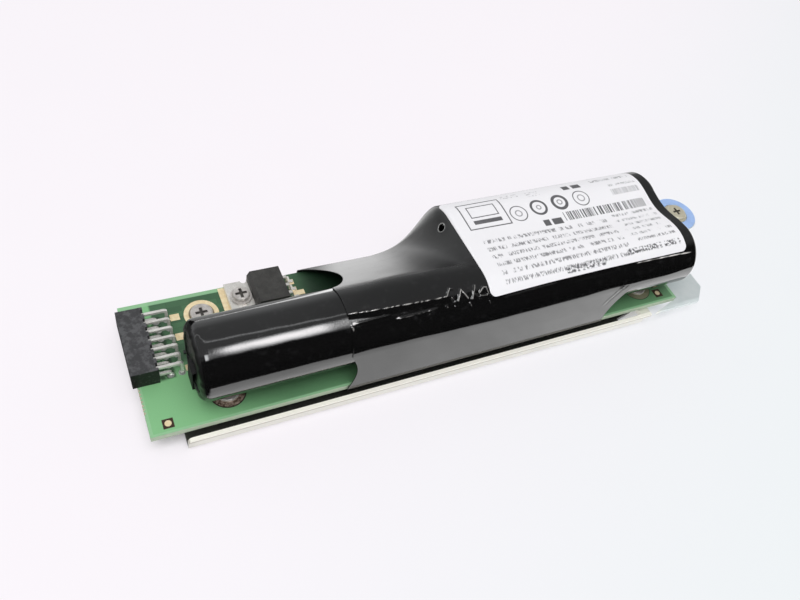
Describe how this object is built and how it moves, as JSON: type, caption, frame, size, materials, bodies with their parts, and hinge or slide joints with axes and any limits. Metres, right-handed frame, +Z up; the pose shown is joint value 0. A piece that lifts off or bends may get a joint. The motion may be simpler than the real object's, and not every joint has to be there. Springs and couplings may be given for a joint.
{
  "type": "raid battery module",
  "caption": "Backup battery module for a disk array controller: round cells in black shrink film on a circuit board, on a folded metal tray with a captive screw.",
  "frame": {"origin": "middle of the module's box, at the underside of the tray", "axes": "+X from the header socket to the fixing screw, +Y from the long side with the tall lip to the far side, +Z up from the tray to the label"},
  "size_m": [0.1802, 0.0406, 0.0258],
  "materials": {
    "tray_metal": "satin",
    "plated_steel": "satin",
    "solder_mask": "gloss",
    "gold_plate": "satin",
    "header_plastic": "matte",
    "tin_plate": "satin",
    "solder": "satin",
    "moulding": "matte",
    "resistor_black": "matte",
    "capacitor_tan": "satin",
    "can_steel": "satin",
    "gasket_white": "matte",
    "jacket_blue": "satin",
    "nickel": "satin",
    "lead_red": "satin",
    "lead_black": "satin",
    "paper_black": "matte",
    "paper_grey": "matte",
    "foam_grey": "matte",
    "wrap_film": "gloss",
    "sleeve_film": "gloss",
    "label_film": "satin",
    "ring_blue": "satin",
    "retainer_black": "matte"
  },
  "bodies": {
    "root": {"carrier_tray": "tray_metal", "tray_standoffs": "plated_steel", "circuit_board": "solder_mask", "plated_lands": "gold_plate", "board_screws": "plated_steel", "header_housing": "header_plastic", "upper_contacts": "tin_plate", "lower_contacts": "tin_plate", "solder_joints": "solder", "regulator_body": "moulding", "regulator_tab": "tin_plate", "regulator_leads": "tin_plate", "regulator_screw": "plated_steel", "spring_washer": "plated_steel", "regulator_nut": "plated_steel", "charger_chip": "moulding", "gauge_chip": "moulding", "chip_leads": "tin_plate", "chip_resistors": "resistor_black", "chip_capacitors": "capacitor_tan", "power_inductor": "moulding", "thermal_sensor": "resistor_black", "front_cell": "can_steel", "near_cell": "can_steel", "far_cell": "can_steel", "cell_caps": "can_steel", "cap_gaskets": "gasket_white", "cell_jackets": "jacket_blue", "positive_bridge": "nickel", "negative_strip": "nickel", "front_tab": "nickel", "positive_lead": "lead_red", "negative_lead": "lead_black", "front_end_disc": "paper_black", "rear_end_paper": "paper_grey", "cell_spacer": "foam_grey", "foam_strips": "foam_grey", "cell_wrap": "wrap_film", "outer_sleeve": "sleeve_film", "pack_label": "label_film", "touch_ring": "ring_blue", "fixing_screw": "plated_steel", "fixing_washer": "plated_steel", "screw_retainer": "retainer_black"}
  },
  "joints": []
}
